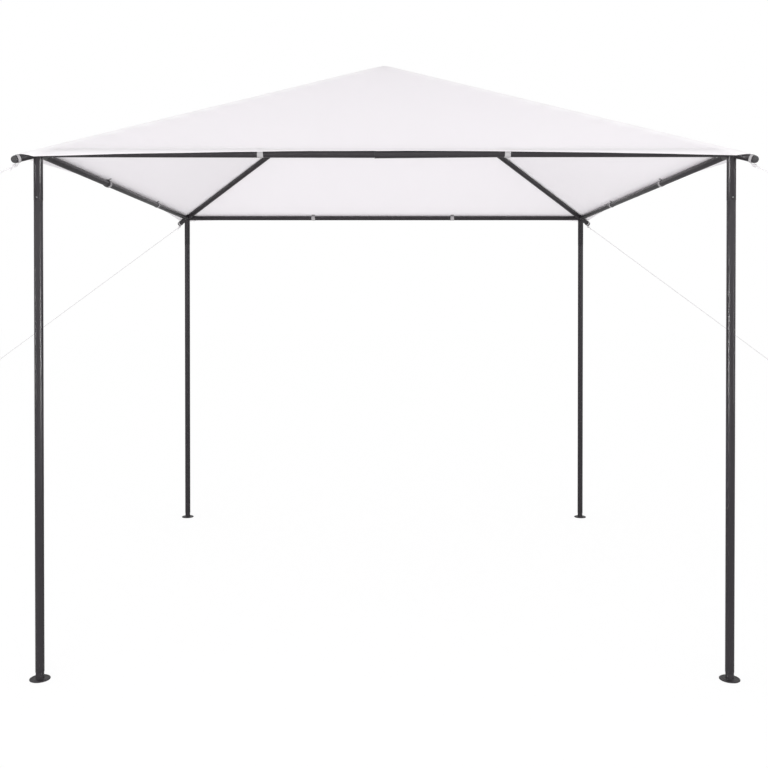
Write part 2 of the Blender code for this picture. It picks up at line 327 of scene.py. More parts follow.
RIM_WIDTH = 0.0045
GROOVE_WIDTH = 0.006
RING_WIDTH = 0.007
PRESSED_DEPTH = 0.0027
ROLLED_EDGE = 0.0011
DISC_HEIGHT = 0.006
UNDERSIDE_STEP = 0.0008
NECK_RADIUS = 0.0178
NECK_WELD = 0.0019
low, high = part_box("foot_plate_front_left")
plate_radius = (high.x - low.x) / 2
neck_height = high.z - DISC_HEIGHT
edge_height = DISC_HEIGHT - PRESSED_DEPTH
for corner in CORNERS:
    low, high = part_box("foot_plate_" + corner)
    middle = (low + high) / 2
    bpy.ops.mesh.primitive_cylinder_add(
        vertices=96, radius=plate_radius, depth=edge_height, location=(middle.x, middle.y, edge_height / 2)
    )
    plate = bpy.context.object
    choose(plate, "FACE", lambda face: face.normal.z > 0.9)
    bpy.ops.mesh.inset(thickness=RIM_WIDTH, depth=PRESSED_DEPTH)
    bpy.ops.mesh.inset(thickness=GROOVE_WIDTH, depth=-PRESSED_DEPTH)
    bpy.ops.mesh.inset(thickness=RING_WIDTH, depth=PRESSED_DEPTH)
    bpy.ops.mesh.inset(thickness=plate_radius - RIM_WIDTH - GROOVE_WIDTH - RING_WIDTH - NECK_RADIUS)
    bpy.ops.mesh.extrude_region_move(TRANSFORM_OT_translate={"value": (0.0, 0.0, neck_height)})
    choose(plate, "FACE", lambda face: face.normal.z < -0.9)
    bpy.ops.mesh.inset(thickness=RIM_WIDTH)
    bpy.ops.mesh.inset(thickness=GROOVE_WIDTH, depth=-UNDERSIDE_STEP)
    work(plate, "rolled edges", "BEVEL", width=ROLLED_EDGE, segments=3, limit_method="ANGLE",
         angle_limit=radians(20))
    neck_foot = Vector((middle.x, middle.y, DISC_HEIGHT))
    neck_weld = bead([neck_foot + Vector((cos(tau * i / 72), sin(tau * i / 72), 0.0)) * NECK_RADIUS
                      for i in range(72)], NECK_WELD)
    join([plate, neck_weld])
    settle(plate, "foot_disc_" + corner, powder_coat)
    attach(plate, "root")
    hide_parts("foot_plate_" + corner)


# The corner fittings: a sleeve over the post's top, an arm to each header, and one slanting tube through it
# all that is the hip's arm on the inside and the tail on the outside. The tubes are welded, then painted.
header_low, header_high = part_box("header_front_a")
header_height = (header_low.z + header_high.z) / 2
tube_radius = (header_high.z - header_low.z) / 2
post_low, post_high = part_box("post_front_left")
half = -post_low.x - (post_high.x - post_low.x) / 2
CROWN_HEIGHT = 3.036
SLEEVE_RADIUS = 0.0195
SLEEVE_TOP = 0.006
ARM_LENGTH = 0.0837
TAIL_REACH = 0.070
WELD_THICKNESS = 0.0021
UP = Vector((0.0, 0.0, 1.0))
slope = (CROWN_HEIGHT - header_height) / half


def on_hip(corner, reach):
    """A point on a hip tube's axis, `reach` metres outside the post's axis along X and along Y."""
    x, y = CORNERS[corner]
    return Vector((x * (half + reach), y * (half + reach), header_height - slope * reach))


def up_hip(corner):
    """The direction up a hip tube, from its corner to the crown."""
    return (Vector((0.0, 0.0, CROWN_HEIGHT)) - on_hip(corner, 0.0)).normalized()


def merge(base, others):
    """Weld solids that overlap into one closed solid."""
    for other in others:
        work(base, "union", "BOOLEAN", operation="UNION", solver="EXACT", object=other)
        bpy.data.objects.remove(other, do_unlink=True)


def seam(centre, arm, arm_radius, trunk, trunk_radius, steps=72):
    """The ring of points where a round arm comes out of a round trunk, both through one centre."""
    side = arm.orthogonal().normalized()
    other_side = arm.cross(side)
    arm_off = arm - trunk * arm.dot(trunk)
    points = []
    for i in range(steps):
        radial = (side * cos(tau * i / steps) + other_side * sin(tau * i / steps)) * arm_radius
        radial_off = radial - trunk * radial.dot(trunk)
        a = arm_off.length_squared
        b = 2 * radial_off.dot(arm_off)
        c = radial_off.length_squared - trunk_radius ** 2
        out = (-b + sqrt(max(0.0, b * b - 4 * a * c))) / (2 * a)
        points.append(centre + radial + arm * out)
    return points


for corner, (x, y) in CORNERS.items():
    centre = on_hip(corner, 0.0)
    sleeve_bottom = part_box("corner_fitting_" + corner)[0].z
    arms = [Vector((-x, 0.0, 0.0)), Vector((0.0, -y, 0.0)), up_hip(corner)]
    fitting = tube((centre.x, centre.y, sleeve_bottom), centre + UP * SLEEVE_TOP, SLEEVE_RADIUS, sides=64)
    branches = [tube(centre, centre + arm * ARM_LENGTH, tube_radius) for arm in arms[:2]]
    branches.append(tube(on_hip(corner, TAIL_REACH), centre + arms[2] * ARM_LENGTH, tube_radius))
    merge(fitting, branches)
    welds = [bead(seam(centre, arm, tube_radius, UP, SLEEVE_RADIUS), WELD_THICKNESS)
             for arm in arms + [-arms[2]]]
    settle(fitting, "corner_piece_" + corner, powder_coat)
    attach(fitting, "root")
    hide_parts("corner_fitting_" + corner)
    beads = settle(join(welds), "weld_beads_" + corner, powder_coat)
    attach(beads, "root")


# The headers: 32 mm steel tubes, two to a side, pushed together a hand's width off the middle of each side.
# The longer tube's mouth is flared a little, and the shorter one's swaged end goes into it. The front pair
# sags there, by the first number for each part, and is straight again past the second.
SIDES = {"front": (0, -1), "right": (1, 0), "rear": (0, 1), "left": (-1, 0)}
FLARE = 0.0007
FLARE_LENGTH = 0.012
WALL = 0.0012
SWAGE_LENGTH = 0.010
MOUTH_DEPTH = SWAGE_LENGTH + 0.004
FRONT_SAG = {"a": (0.0029, 1.40), "b": (0.0050, 0.575)}
for side, (x, y) in SIDES.items():
    along = Vector((abs(y), abs(x), 0.0))
    ends = {}
    for part in ("a", "b"):
        low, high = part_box("header_" + side + "_" + part)
        middle = (low + high) / 2
        reach = along * ((high - low).dot(along) / 2)
        ends[part] = (middle - reach, middle + reach)
    longer = max(ends, key=lambda part: (ends[part][1] - ends[part][0]).length)
    for part, (start, end) in ends.items():
        header = tube(start, end, tube_radius)
        mouth = min((start, end), key=lambda point: abs(point.dot(along)))
        away = ((start + end) / 2 - mouth).normalized()
        alone(header)
        bpy.ops.object.transform_apply(location=True, rotation=True, scale=True)
        choose(header, "FACE", lambda face: (
            face.normal.dot(away) < -0.99 and (face.calc_center_median() - mouth).length < 0.002))
        bpy.ops.mesh.inset(thickness=WALL)
        if part == longer:
            bpy.ops.mesh.extrude_region_move(TRANSFORM_OT_translate={"value": away * MOUTH_DEPTH})
        else:
            bpy.ops.mesh.extrude_region_move(TRANSFORM_OT_translate={"value": away * -SWAGE_LENGTH})
        cuts = [mouth + away * (FLARE_LENGTH * step / 4) for step in range(1, 5)]
        if side == "front":
            cuts += [mouth + away * (FRONT_SAG[part][1] * step / 8) for step in range(1, 9)]
        for cut in cuts:
            choose(header, "FACE", lambda face: True)
            bpy.ops.mesh.bisect(plane_co=cut, plane_no=along)
        bpy.ops.object.mode_set(mode="OBJECT")
        for vertex in header.data.vertices:
            depth = (vertex.co - mouth).dot(away)
            off_axis = vertex.co - mouth - away * depth
            if part == longer and depth < FLARE_LENGTH and off_axis.length > tube_radius - WALL * 0.6:
                vertex.co += off_axis.normalized() * (FLARE * (1.0 - max(0.0, depth) / FLARE_LENGTH) ** 2)
            if side == "front":
                drop, length = FRONT_SAG[part]
                vertex.co.z -= drop * (1.0 - min(1.0, max(0.0, depth) / length))
        settle(header, "header_tube_" + side + "_" + part, powder_coat)
        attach(header, "root")
        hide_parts("header_" + side + "_" + part)


# The hip tubes and the crown: four 32 mm tubes rise to a short drum, where each slips on a welded arm.
# The drum is closed with a flat plate above and below, and sits close under the peak of the roof.
HUB_RADIUS = 0.024
HUB_BELOW_CROWN = 0.056
HUB_BELOW_PEAK = 0.0085
HUB_ARM_START = 0.0195
SLIP_GAP = 0.0006
crown = Vector((0.0, 0.0, CROWN_HEIGHT))
for corner in CORNERS:
    past_arm = up_hip(corner) * (ARM_LENGTH + SLIP_GAP)
    hip = tube(on_hip(corner, 0.0) + past_arm, crown - past_arm, tube_radius)
    settle(hip, "hip_" + corner, powder_coat)
    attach(hip, "root")
    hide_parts("hip_tube_" + corner)
low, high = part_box("crown_hub")
hub = tube(UP * (CROWN_HEIGHT - HUB_BELOW_CROWN), UP * (high.z - HUB_BELOW_PEAK), HUB_RADIUS, sides=60)
merge(hub, [tube(crown - up_hip(corner) * HUB_ARM_START, crown - up_hip(corner) * ARM_LENGTH, tube_radius)
            for corner in CORNERS])
choose(hub, "FACE", lambda face: face.normal.z < -0.99)
bpy.ops.mesh.inset(thickness=0.003)
bpy.ops.mesh.inset(thickness=0.001, depth=-0.0012)
alone(hub)
welds = [bead(seam(crown, -up_hip(corner), tube_radius, UP, HUB_RADIUS), WELD_THICKNESS)
         for corner in CORNERS]
settle(hub, "crown_drum", powder_coat)
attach(hub, "root")
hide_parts("crown_hub")
beads = settle(join(welds), "weld_beads_crown", powder_coat)
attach(beads, "root")


# The snap buttons: zinc plated domes on springs inside the tubes, which lock each joint through a round hole.
# The ones on the posts face the front and the rear, and the others face the ground.
BUTTON_RADIUS = 0.0030
ABOVE_SLEEVE_END = 0.012
INSIDE_ARM_END = 0.022
BESIDE_JOINT = 0.03
bright_zinc, maths, shader = finish_and_shader("zinc plate")
place = maths.node("TexCoord", output="Object")
cloudy = maths.node("TexNoise", None, {"Vector": place, "Scale": 90.0, "Detail": 4.0})
blend_colours(maths, cloudy, (0.42, 0.42, 0.43), (0.58, 0.58, 0.59)).into(shader, "Base Color")
(0.34 + cloudy * 0.22).into(shader, "Roughness")
shader.inputs["Metallic"].default_value = 1.0
texture = maths.node("Bump", None, {"Strength": 0.15, "Distance": 0.0004, "Height": cloudy})
texture.into(shader, "Normal")
places = []
for corner, (x, y) in CORNERS.items():
    centre = on_hip(corner, 0.0)
    sleeve_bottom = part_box("corner_fitting_" + corner)[0].z
    outward = Vector((0.0, y, 0.0))
    button_height = sleeve_bottom + ABOVE_SLEEVE_END
    places.append((Vector((centre.x, centre.y, button_height)) + outward * SLEEVE_RADIUS, outward))
    for arm in (Vector((-x, 0.0, 0.0)), Vector((0.0, -y, 0.0)), up_hip(corner)):
        down = (arm * arm.z - UP).normalized()
        places.append((centre + arm * (ARM_LENGTH - INSIDE_ARM_END) + down * tube_radius, down))
    places.append((crown - arm * (ARM_LENGTH - INSIDE_ARM_END) + down * tube_radius, down))
joints = {"front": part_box("header_front_a")[1].x, "rear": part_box("header_rear_b")[0].x,
          "left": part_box("header_left_b")[0].y, "right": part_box("header_right_a")[1].y}
for side, joint in joints.items():
    x, y = SIDES[side]
    along = Vector((abs(y), abs(x), 0.0))
    middle = Vector((x * half, y * half, header_height)) + along * (joint - BESIDE_JOINT)
    places.append((middle - UP * tube_radius, -UP))
buttons = []
for point, facing in places:
    bpy.ops.mesh.primitive_uv_sphere_add(segments=20, ring_count=12, radius=BUTTON_RADIUS, location=point)
    button = bpy.context.object
    button.rotation_euler = facing.to_track_quat("Z", "Y").to_euler()
    button.scale = (1.0, 1.0, 0.75)
    buttons.append(button)
snap_buttons = settle(join(buttons), "snap_buttons", bright_zinc)
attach(snap_buttons, "root")


# The tail caps: black moulded plugs with a domed head and a thin rim, pushed into the open ends of the tails.
satin_plastic, maths, shader = finish_and_shader("black moulded plastic")
place = maths.node("TexCoord", output="Object")
grain = maths.node("TexNoise", None, {"Vector": place, "Scale": 1100.0, "Detail": 1.0})
cloudy = maths.node("TexNoise", None, {"Vector": place, "Scale": 60.0, "Detail": 2.0})
blend_colours(maths, cloudy, (0.034, 0.033, 0.035), (0.046, 0.045, 0.047)).into(shader, "Base Color")
(0.38 + cloudy * 0.12).into(shader, "Roughness")
texture = maths.node("Bump", None, {"Strength": 0.12, "Distance": 0.0004, "Height": grain})
texture.into(shader, "Normal")
CAP_RADIUS = 0.0168
CAP_LENGTH = 0.019
DOME_INSET = 0.0006
RIM_GROWTH = 1.037
RIM_LENGTH = 0.003
SEAT_GAP = 0.0003
for corner in CORNERS:
    outward = -up_hip(corner)
    seat = on_hip(corner, TAIL_REACH) + outward * SEAT_GAP
    bpy.ops.mesh.primitive_uv_sphere_add(segments=40, ring_count=24, radius=1.0)
    cap = bpy.context.object
    choose(cap, "FACE", lambda face: True)
    bpy.ops.mesh.bisect(plane_co=(0, 0, 0), plane_no=(0, 0, 1), use_fill=True, clear_inner=True)
    alone(cap)
    cap.scale = (CAP_RADIUS - DOME_INSET, CAP_RADIUS - DOME_INSET, CAP_LENGTH - RIM_LENGTH)
    bpy.ops.object.transform_apply(location=False, rotation=False, scale=True)
    choose(cap, "FACE", lambda face: face.normal.z < -0.9)
    bpy.ops.mesh.extrude_region_move()
    bpy.ops.transform.resize(value=(RIM_GROWTH, RIM_GROWTH, 1.0))
    bpy.ops.mesh.extrude_region_move(TRANSFORM_OT_translate={"value": (0.0, 0.0, -RIM_LENGTH)})
    work(cap, "rounded rim", "BEVEL", width=0.0005, segments=2, limit_method="ANGLE", angle_limit=radians(40))
    cap.rotation_euler = outward.to_track_quat("Z", "Y").to_euler()
    cap.location = seat + outward * RIM_LENGTH
    settle(cap, "cap_" + corner, satin_plastic)
    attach(cap, "root")
    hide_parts("tail_cap_" + corner)


# The roof: four panels of white coated polyester, sewn along the hips into one stretched sheet.
# The cloth lies on the headers and the hips, and its edges are hemmed in a shallow curve between the corners.
CLOTH_THICKNESS = 0.0009
CLOTH_LIFT = 0.0012
HEM_REACH_MIDDLE = 1.523
HEM_REACH_CORNER = 1.562
HEM_DROOP = {"front_left": 0.0125, "front_right": 0.0075, "rear_right": 0.010, "rear_left": 0.010}
HEM_WIDTH = 0.040
COLUMNS = 56
ROWS = 72
PANEL_SAG = 0.007
HEM_RAISE = 0.0004
SEAM_RAISE = 0.0005
PEAK_ROUND = 0.011
FOLD_HEIGHT = 0.0040
FOLD_SPACING = 0.17
FOLD_SPREAD = 0.24
FLUTTER = 0.0016
UNEVENNESS = 0.0012
THREAD = 0.0011
STITCH_LENGTH = 0.0045
GROUND_OFF = 0.0009
pitch = atan(slope)


def ramp(value, start, end):
    """A smooth rise from 0 at `start` to 1 at `end`."""
    share = min(1.0, max(0.0, (value - start) / (end - start)))
    return share * share * (3.0 - 2.0 * share)


def hem_reach(across):
    """Distance of the hem from the middle of the gazebo, for a place from -1 to 1 along a side."""
    return HEM_REACH_MIDDLE + (HEM_REACH_CORNER - HEM_REACH_MIDDLE) * across ** 2


def corner_of(side, across):
    """The corner that a place on a side is nearest to."""
    x, y = SIDES[side]
    end = 1 if across > 0 else -1
    place = (x, end * x) if x else (-end * y, y)
    return next(name for name, signs in CORNERS.items() if signs == place)


def cloth_point(side, across, reach):
    """A point on the cloth's underside: across from -1 to 1 between the hips, reach out from the middle."""
    x, y = SIDES[side]
    outward = Vector((x, y, 0.0))
    along = Vector((-y, x, 0.0))
    normal = (outward * sin(pitch) + UP * cos(pitch)).normalized()
    rounded = sqrt(reach ** 2 + PEAK_ROUND ** 2) - PEAK_ROUND * 0.08
    height = header_height + slope * (half - rounded) + (tube_radius + CLOTH_LIFT) / cos(pitch)
    point = outward * reach + along * (across * reach) + UP * height
    inside = min(1.0, reach / half)
    sag = -PANEL_SAG * 4 * inside * (1.0 - inside) * (1.0 - across ** 2) * 1.2

    # Slight folds run along the hips, and fade out on the tubes, at the crown and at the headers.
    to_hip = (1.0 - abs(across)) * reach
    fade = ramp(to_hip, 0.012, 0.055) * max(0.0, 1.0 - to_hip / FOLD_SPREAD)
    fade *= ramp(reach, 0.10, 0.35) * ramp(reach, half - 0.04, half - 0.20)
    wave = tau * (reach * 1.41 - to_hip * 0.9) / FOLD_SPACING + 2.1 * (x + 2 * y)
    folds = FOLD_HEIGHT * sin(wave) * fade

    # Past the header the edge is free: it lifts unevenly, and droops towards the corners.
    free = max(0.0, reach - half) / (hem_reach(across) - half)
    flutter = FLUTTER * free * abs(noise.noise(Vector((across * 5.0 + 7 * x, 3.1 * y, 0.4))))
    droop = HEM_DROOP[corner_of(side, across)] * across ** 2 * free ** 1.5 * min(1.0, to_hip / 0.06) ** 2
    off_tubes = min(1.0, to_hip / 0.2) * ramp(abs(reach - half), 0.03, 0.15)
    uneven = UNEVENNESS * noise.noise(point * 2.4) * off_tubes
    return point + normal * (sag + folds + flutter + uneven) - UP * droop


def across_and_reach(round_share, up_share):
    """A place on a panel from its shares of the way along and up it, which crowd at the hips and the hem."""
    across = sin(pi * (round_share - 0.5))
    return across, hem_reach(across) * (1.0 - up_share ** 1.5)


def face_outwards(piece):
    """Turn the faces of a piece outwards."""
    choose(piece, "FACE", lambda face: True)
    bpy.ops.mesh.normals_make_consistent(inside=False)
    alone(piece)


bpy.ops.mesh.primitive_grid_add(x_subdivisions=4 * COLUMNS, y_subdivisions=ROWS, size=2.0)
canopy = bpy.context.object
canopy_uv = canopy.data.uv_layers[0].uv
for polygon in canopy.data.polygons:
    panel = min(3, floor(sum(canopy_uv[i].vector.x for i in polygon.loop_indices)))
    for i in polygon.loop_indices:
        u, v = canopy_uv[i].vector
        across, reach = across_and_reach(u * 4 - panel, v)
        canopy_uv[i].vector = (across * reach + 4.0 * panel, (hem_reach(across) - reach) / cos(pitch))
for vertex in canopy.data.vertices:
    u = (vertex.co.x + 1.0) / 2
    panel = min(3, floor(u * 4 + 1e-6))
    across, reach = across_and_reach(u * 4 - panel, (vertex.co.y + 1.0) / 2)
    vertex.co = cloth_point(list(SIDES)[panel], across, reach)
choose(canopy, "FACE", lambda face: True)
bpy.ops.mesh.remove_doubles(threshold=0.00001)
face_outwards(canopy)
inner_count = len(canopy.data.vertices)
work(canopy, "cloth thickness", "SOLIDIFY", thickness=CLOTH_THICKNESS, offset=1.0)

# The outer face stands a little higher where the cloth is turned over along the hem, and along the seams.
for number in range(inner_count):
    under = canopy.data.vertices[number].co
    outer = canopy.data.vertices[number + inner_count]
    side = max(SIDES, key=lambda name: under.x * SIDES[name][0] + under.y * SIDES[name][1])
    reach = under.x * SIDES[side][0] + under.y * SIDES[side][1]
    sideways = abs(under.x * SIDES[side][1]) + abs(under.y * SIDES[side][0])
    to_hem = (hem_reach(sideways / max(reach, 0.001)) - reach) / cos(pitch)
    to_hip = reach - sideways
    layers = HEM_RAISE * ramp(to_hem, HEM_WIDTH + 0.002, HEM_WIDTH - 0.004)
    layers += SEAM_RAISE * ramp(to_hip, 0.015, 0.008)
    outer.co += (outer.co - under).normalized() * layers

cloth, maths, shader = finish_and_shader("white coated polyester")
fibre = maths.node("TexCoord", output="UV")
fibre_u = maths.node("SeparateXYZ", values={0: fibre}, output="X")
fibre_v = maths.node("SeparateXYZ", values={0: fibre}, output="Y")
weave = maths.math("SINE", fibre_u * (tau / THREAD)) * maths.math("SINE", fibre_v * (tau / THREAD))
cloudy = maths.node("TexNoise", None, {"Vector": fibre, "Scale": 2.2, "Detail": 4.0})
creases = maths.node("TexNoise", None, {"Vector": fibre, "Scale": 9.0, "Detail": 3.0, "Distortion": 0.6})
in_hem = maths.math("LESS_THAN", fibre_v, HEM_WIDTH)
stitch_run = maths.math("LESS_THAN", maths.math("FRACT", fibre_u * (1.0 / STITCH_LENGTH)), 0.68)
stitch = 0.0
for row in (0.006, HEM_WIDTH - 0.003):
    near = maths.math("LESS_THAN", maths.math("ABSOLUTE", fibre_v - row), 0.0006)
    stitch = stitch + near * stitch_run
body_colour = blend_colours(maths, cloudy, (0.872, 0.853, 0.872), (0.884, 0.865, 0.884))
body_colour = blend_colours(maths, in_hem, body_colour, (0.868, 0.849, 0.868))
blend_colours(maths, stitch * 0.25, body_colour, (0.60, 0.60, 0.61)).into(shader, "Base Color")
(0.62 + creases * 0.12).into(shader, "Roughness")
shader.inputs["Sheen Weight"].default_value = 0.08
relief = weave * 0.00006 + creases * 0.0012 - stitch * 0.0004
texture = maths.node("Bump", None, {"Strength": 0.35, "Distance": 1.0, "Height": relief})
texture.into(shader, "Normal")
glow = maths.node("BsdfTranslucent", None, {"Color": (0.90, 0.882, 0.90, 1.0), "Normal": texture})

# The cloth lets less light through where it lies on a tube, which would else show as a dark line.
along_hem = maths.math("ABSOLUTE", fibre_u - 4.0 * maths.math("ROUND", fibre_u * 0.25))
to_hip = (HEM_REACH_MIDDLE + HEM_REACH_CORNER) / 2 - fibre_v * cos(pitch) - along_hem
over_tube = to_hip.smooth(0.0, 0.10, 1.0, 0.0)
over_header = fibre_v.smooth(0.03, 0.13, 1.0, 0.0)
see_through = 0.50 - maths.math("MAXIMUM", over_header * 0.14, over_tube * 0.36)
mixed = maths.node("MixShader", None, {0: see_through, 2: glow})
maths.tree.links.new(shader.outputs[0], mixed.output.node.inputs[1])
mixed.into(maths.tree.nodes["Material Output"], "Surface")
settle(canopy, "roof_canopy", cloth, crease=60.0)
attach(canopy, "root")
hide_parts("roof_fabric")

# What is welded on top of the fittings and the crown is ground down flush, so as not to press into the cloth.
ground_down = ["crown_drum", "weld_beads_crown"]
ground_down += [kind + corner for kind in ("corner_piece_", "weld_beads_") for corner in CORNERS]
for name in ground_down:
    for vertex in bpy.data.objects[name].data.vertices:
        reach = max(abs(vertex.co.x), abs(vertex.co.y))
        if reach < half + 0.03:
            across = min(abs(vertex.co.x), abs(vertex.co.y)) / max(reach, 0.001)
            below = GROUND_OFF + 0.0022 * ramp(reach, 0.08, 0.04)
            vertex.co.z = min(vertex.co.z, cloth_point("front", across, reach).z - below)


# The corner loops: white webbing, 12 mm wide, sewn under each corner of the roof and passed round the tail.
# They hold the cloth stretched, and each one's guy rope is knotted on it.
LOOP_REACH = 0.063
LOOP_WIDTH = 0.012
LOOP_THICKNESS = 0.0018
LOOP_SLACK = 0.0004
webbing, maths, shader = finish_and_shader("white polyester webbing")
place = maths.node("TexCoord", output="Object")
fine = maths.node("TexNoise", None, {"Vector": place, "Scale": 900.0, "Detail": 2.0})
dirt = maths.node("TexNoise", None, {"Vector": place, "Scale": 45.0, "Detail": 3.0})
# The webbing is white, but its colour is set mid grey as painted shade, which holds the straps and loops down
# in the strong front light.
painted_shade_colour = blend_colours(maths, fine, (0.25, 0.242, 0.25), (0.40, 0.388, 0.40))
blend_colours(maths, dirt * 0.25, painted_shade_colour, (0.24, 0.232, 0.235)).into(shader, "Base Color")
(0.60 + fine * 0.20).into(shader, "Roughness")
ribs = maths.node("TexWave", {"wave_type": "BANDS", "bands_direction": "DIAGONAL"}, {
    "Vector": place, "Scale": 260.0, "Distortion": 0.4})
texture = maths.node("Bump", None, {"Strength": 0.35, "Distance": 0.0006, "Height": ribs + fine})
texture.into(shader, "Normal")
for corner in CORNERS:
    outward = -up_hip(corner)
    bpy.ops.mesh.primitive_cylinder_add(
        vertices=64, radius=tube_radius + LOOP_SLACK + LOOP_THICKNESS, depth=LOOP_WIDTH,
        end_fill_type="NOTHING", location=on_hip(corner, LOOP_REACH),
        rotation=outward.to_track_quat("Z", "Y").to_euler(),
    )
    loop = bpy.context.object
    face_outwards(loop)
    work(loop, "wall", "SOLIDIFY", thickness=LOOP_THICKNESS, offset=-1.0)
    work(loop, "soft edges", "BEVEL", width=0.0006, segments=2, limit_method="ANGLE", angle_limit=radians(50))
    settle(loop, "corner_loop_" + corner, webbing)
    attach(loop, "root")


# The hem straps: white webbing loops round the headers, two to a side, sewn to the underside of the roof.
# Their insides are painted dark, as painted shade for the gap round the tube, and on the left and right a
# dark sleeve of the same painted shade sticks out towards the front.
# One strap, nearest to the camera on the left, is looser than the others.
STRAP_WALL = 0.0013
STRAP_RADIUS = tube_radius + 0.0008
STRAP_SLACK = 0.0012
LOOSE_SLACK = 0.0040
STRAP_CEILING = tube_radius + CLOTH_LIFT - STRAP_WALL - 0.0002
OUTER_TAB = 0.006
INNER_TAB = 0.016
SHADE_SLEEVE_REACH = 0.018
SHADE_SLEEVE_WALL = 0.0006
SHADE_SLEEVE_BULGE = 0.0183
LOOSE_BULGE = 0.0222
SHADE_SLEEVE_CEILING = tube_radius + CLOTH_LIFT - 0.0012
# Painted shade: this near-black finish stands for the shadow inside the strap loops, on their inner faces and
# on the sleeves beside them.
painted_shade_finish, maths, shader = finish_and_shader("dark painted shade")
place = maths.node("TexCoord", output="Object")
shade_grain = maths.node("TexNoise", None, {"Vector": place, "Scale": 1400.0, "Detail": 2.0})
blend_colours(maths, shade_grain, (0.030, 0.028, 0.031), (0.075, 0.071, 0.076)).into(shader, "Base Color")
shader.inputs["Roughness"].default_value = 0.85
texture = maths.node("Bump", None, {"Strength": 0.6, "Distance": 0.0006, "Height": shade_grain})
texture.into(shader, "Normal")


def cut_rings(sleeve, length, shares):
    """Cut rings of edges round a sleeve, at shares of its length from its middle."""
    for share in shares:
        choose(sleeve, "FACE", lambda face: True)
        bpy.ops.mesh.bisect(plane_co=(0.0, 0.0, length * share), plane_no=(0.0, 0.0, 1.0))


for side, (x, y) in SIDES.items():
    outward = Vector((x, y, 0.0))
    along = Vector((abs(y), abs(x), 0.0))
    cloth_normal = outward * sin(pitch) + UP * cos(pitch)
    down_slope = outward * cos(pitch) - UP * sin(pitch)
    turn = Matrix((cloth_normal, along.cross(cloth_normal), along)).transposed()
    for number in ("1", "2"):
        low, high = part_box("hem_strap_" + side + "_" + number)
        width = (high - low).dot(along)
        middle = outward * half + UP * header_height + along * ((low + high) / 2).dot(along)
        loose = side + number == "left1"
        radius = STRAP_RADIUS + (LOOSE_SLACK if loose else STRAP_SLACK)
        bpy.ops.mesh.primitive_cylinder_add(vertices=64, radius=radius, depth=width, end_fill_type="NOTHING")
        strap = bpy.context.object
        cut_rings(strap, width, (-0.3, -0.1, 0.1, 0.3))
        choose(strap, "FACE", lambda face: face.calc_center_median().x > STRAP_CEILING)
        bpy.ops.mesh.delete(type="FACE")
        for sign in (-1.0, 1.0):
            choose(strap, "EDGE", lambda edge: (
                edge.is_boundary and abs(edge.verts[0].co.z - edge.verts[1].co.z) > 0.001
                and edge.verts[0].co.x > 0.0 and edge.verts[0].co.y * sign > 0.0))
            tab = OUTER_TAB if sign * along.cross(cloth_normal).dot(down_slope) > 0.0 else INNER_TAB
            for _ in range(3):
                bpy.ops.mesh.extrude_edges_move(TRANSFORM_OT_translate={"value": (0.0, sign * tab / 3, 0.0)})
        alone(strap)
        for vertex in strap.data.vertices:
            spot = Vector((vertex.co.x * 60, vertex.co.y * 60, vertex.co.z * 90 + 9.0 * middle.dot(along)))
            wobble = noise.noise(spot)
            hanging = ramp(-vertex.co.x, -0.008, 0.014)
            vertex.co += Vector((vertex.co.x, vertex.co.y, 0.0)).normalized() * (0.0009 * wobble * hanging)
            vertex.co.z *= 1.0 + 0.10 * hanging * (1.0 if wobble > 0 else 0.6)
            vertex.co.x = min(vertex.co.x, STRAP_CEILING)
        face_outwards(strap)
        strap.data.materials.append(webbing)
        strap.data.materials.append(painted_shade_finish)
        work(strap, "wall", "SOLIDIFY", thickness=STRAP_WALL, offset=1.0)
        # The inner faces get the dark finish, which is painted shade for the gap between the loop and the
        # tube.
        for polygon in strap.data.polygons:
            from_axis = Vector((polygon.center.x, polygon.center.y, 0.0))
            if polygon.normal.dot(from_axis) < 0.0 and polygon.center.x < STRAP_CEILING - 0.003:
                polygon.material_index = 1
        strap.matrix_world = Matrix.Translation(middle) @ turn.to_4x4()
        # On the left and right a dark sleeve sticks out from the strap towards the front. It is painted shade
        # for the shadowed gap under the loop.
        if side in ("left", "right"):
            length = width + SHADE_SLEEVE_REACH
            bulge = LOOSE_BULGE if loose else SHADE_SLEEVE_BULGE
            bpy.ops.mesh.primitive_cylinder_add(
                vertices=48, radius=1.0, depth=length, end_fill_type="NOTHING"
            )
            shade_sleeve = bpy.context.object
            cut_rings(shade_sleeve, length, (-0.4, -0.3, -0.2, -0.1, 0.0, 0.1, 0.2, 0.3, 0.4))
            alone(shade_sleeve)
            for vertex in shade_sleeve.data.vertices:
                past = ramp(-(vertex.co.z + SHADE_SLEEVE_REACH / 2 - width / 2), width - 0.002, width + 0.004)
                out = radius - 0.0009 + (bulge - radius + 0.0009) * past
                out -= 0.0018 * ramp(-vertex.co.z, length * 0.44, length * 0.5)
                spot = Vector((vertex.co.x * 1.6, vertex.co.y * 1.6, vertex.co.z * 90 + middle.y))
                out += 0.0008 * noise.noise(spot) * past
                vertex.co = Vector((vertex.co.x * out, vertex.co.y * out, vertex.co.z - SHADE_SLEEVE_REACH / 2))
                if vertex.co.x > SHADE_SLEEVE_CEILING:
                    vertex.co.x = SHADE_SLEEVE_CEILING
                    vertex.co.y *= 0.8
            face_outwards(shade_sleeve)
            work(shade_sleeve, "wall", "SOLIDIFY", thickness=SHADE_SLEEVE_WALL, offset=-1.0)
            shade_sleeve.matrix_world = Matrix.Translation(middle) @ turn.to_4x4()
            settle(shade_sleeve, "strap_lining_" + side + "_" + number, painted_shade_finish, crease=50.0)
            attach(shade_sleeve, "root")
        settle(strap, "strap_" + side + "_" + number, crease=50.0)
        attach(strap, "root")
        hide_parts("hem_strap_" + side + "_" + number)


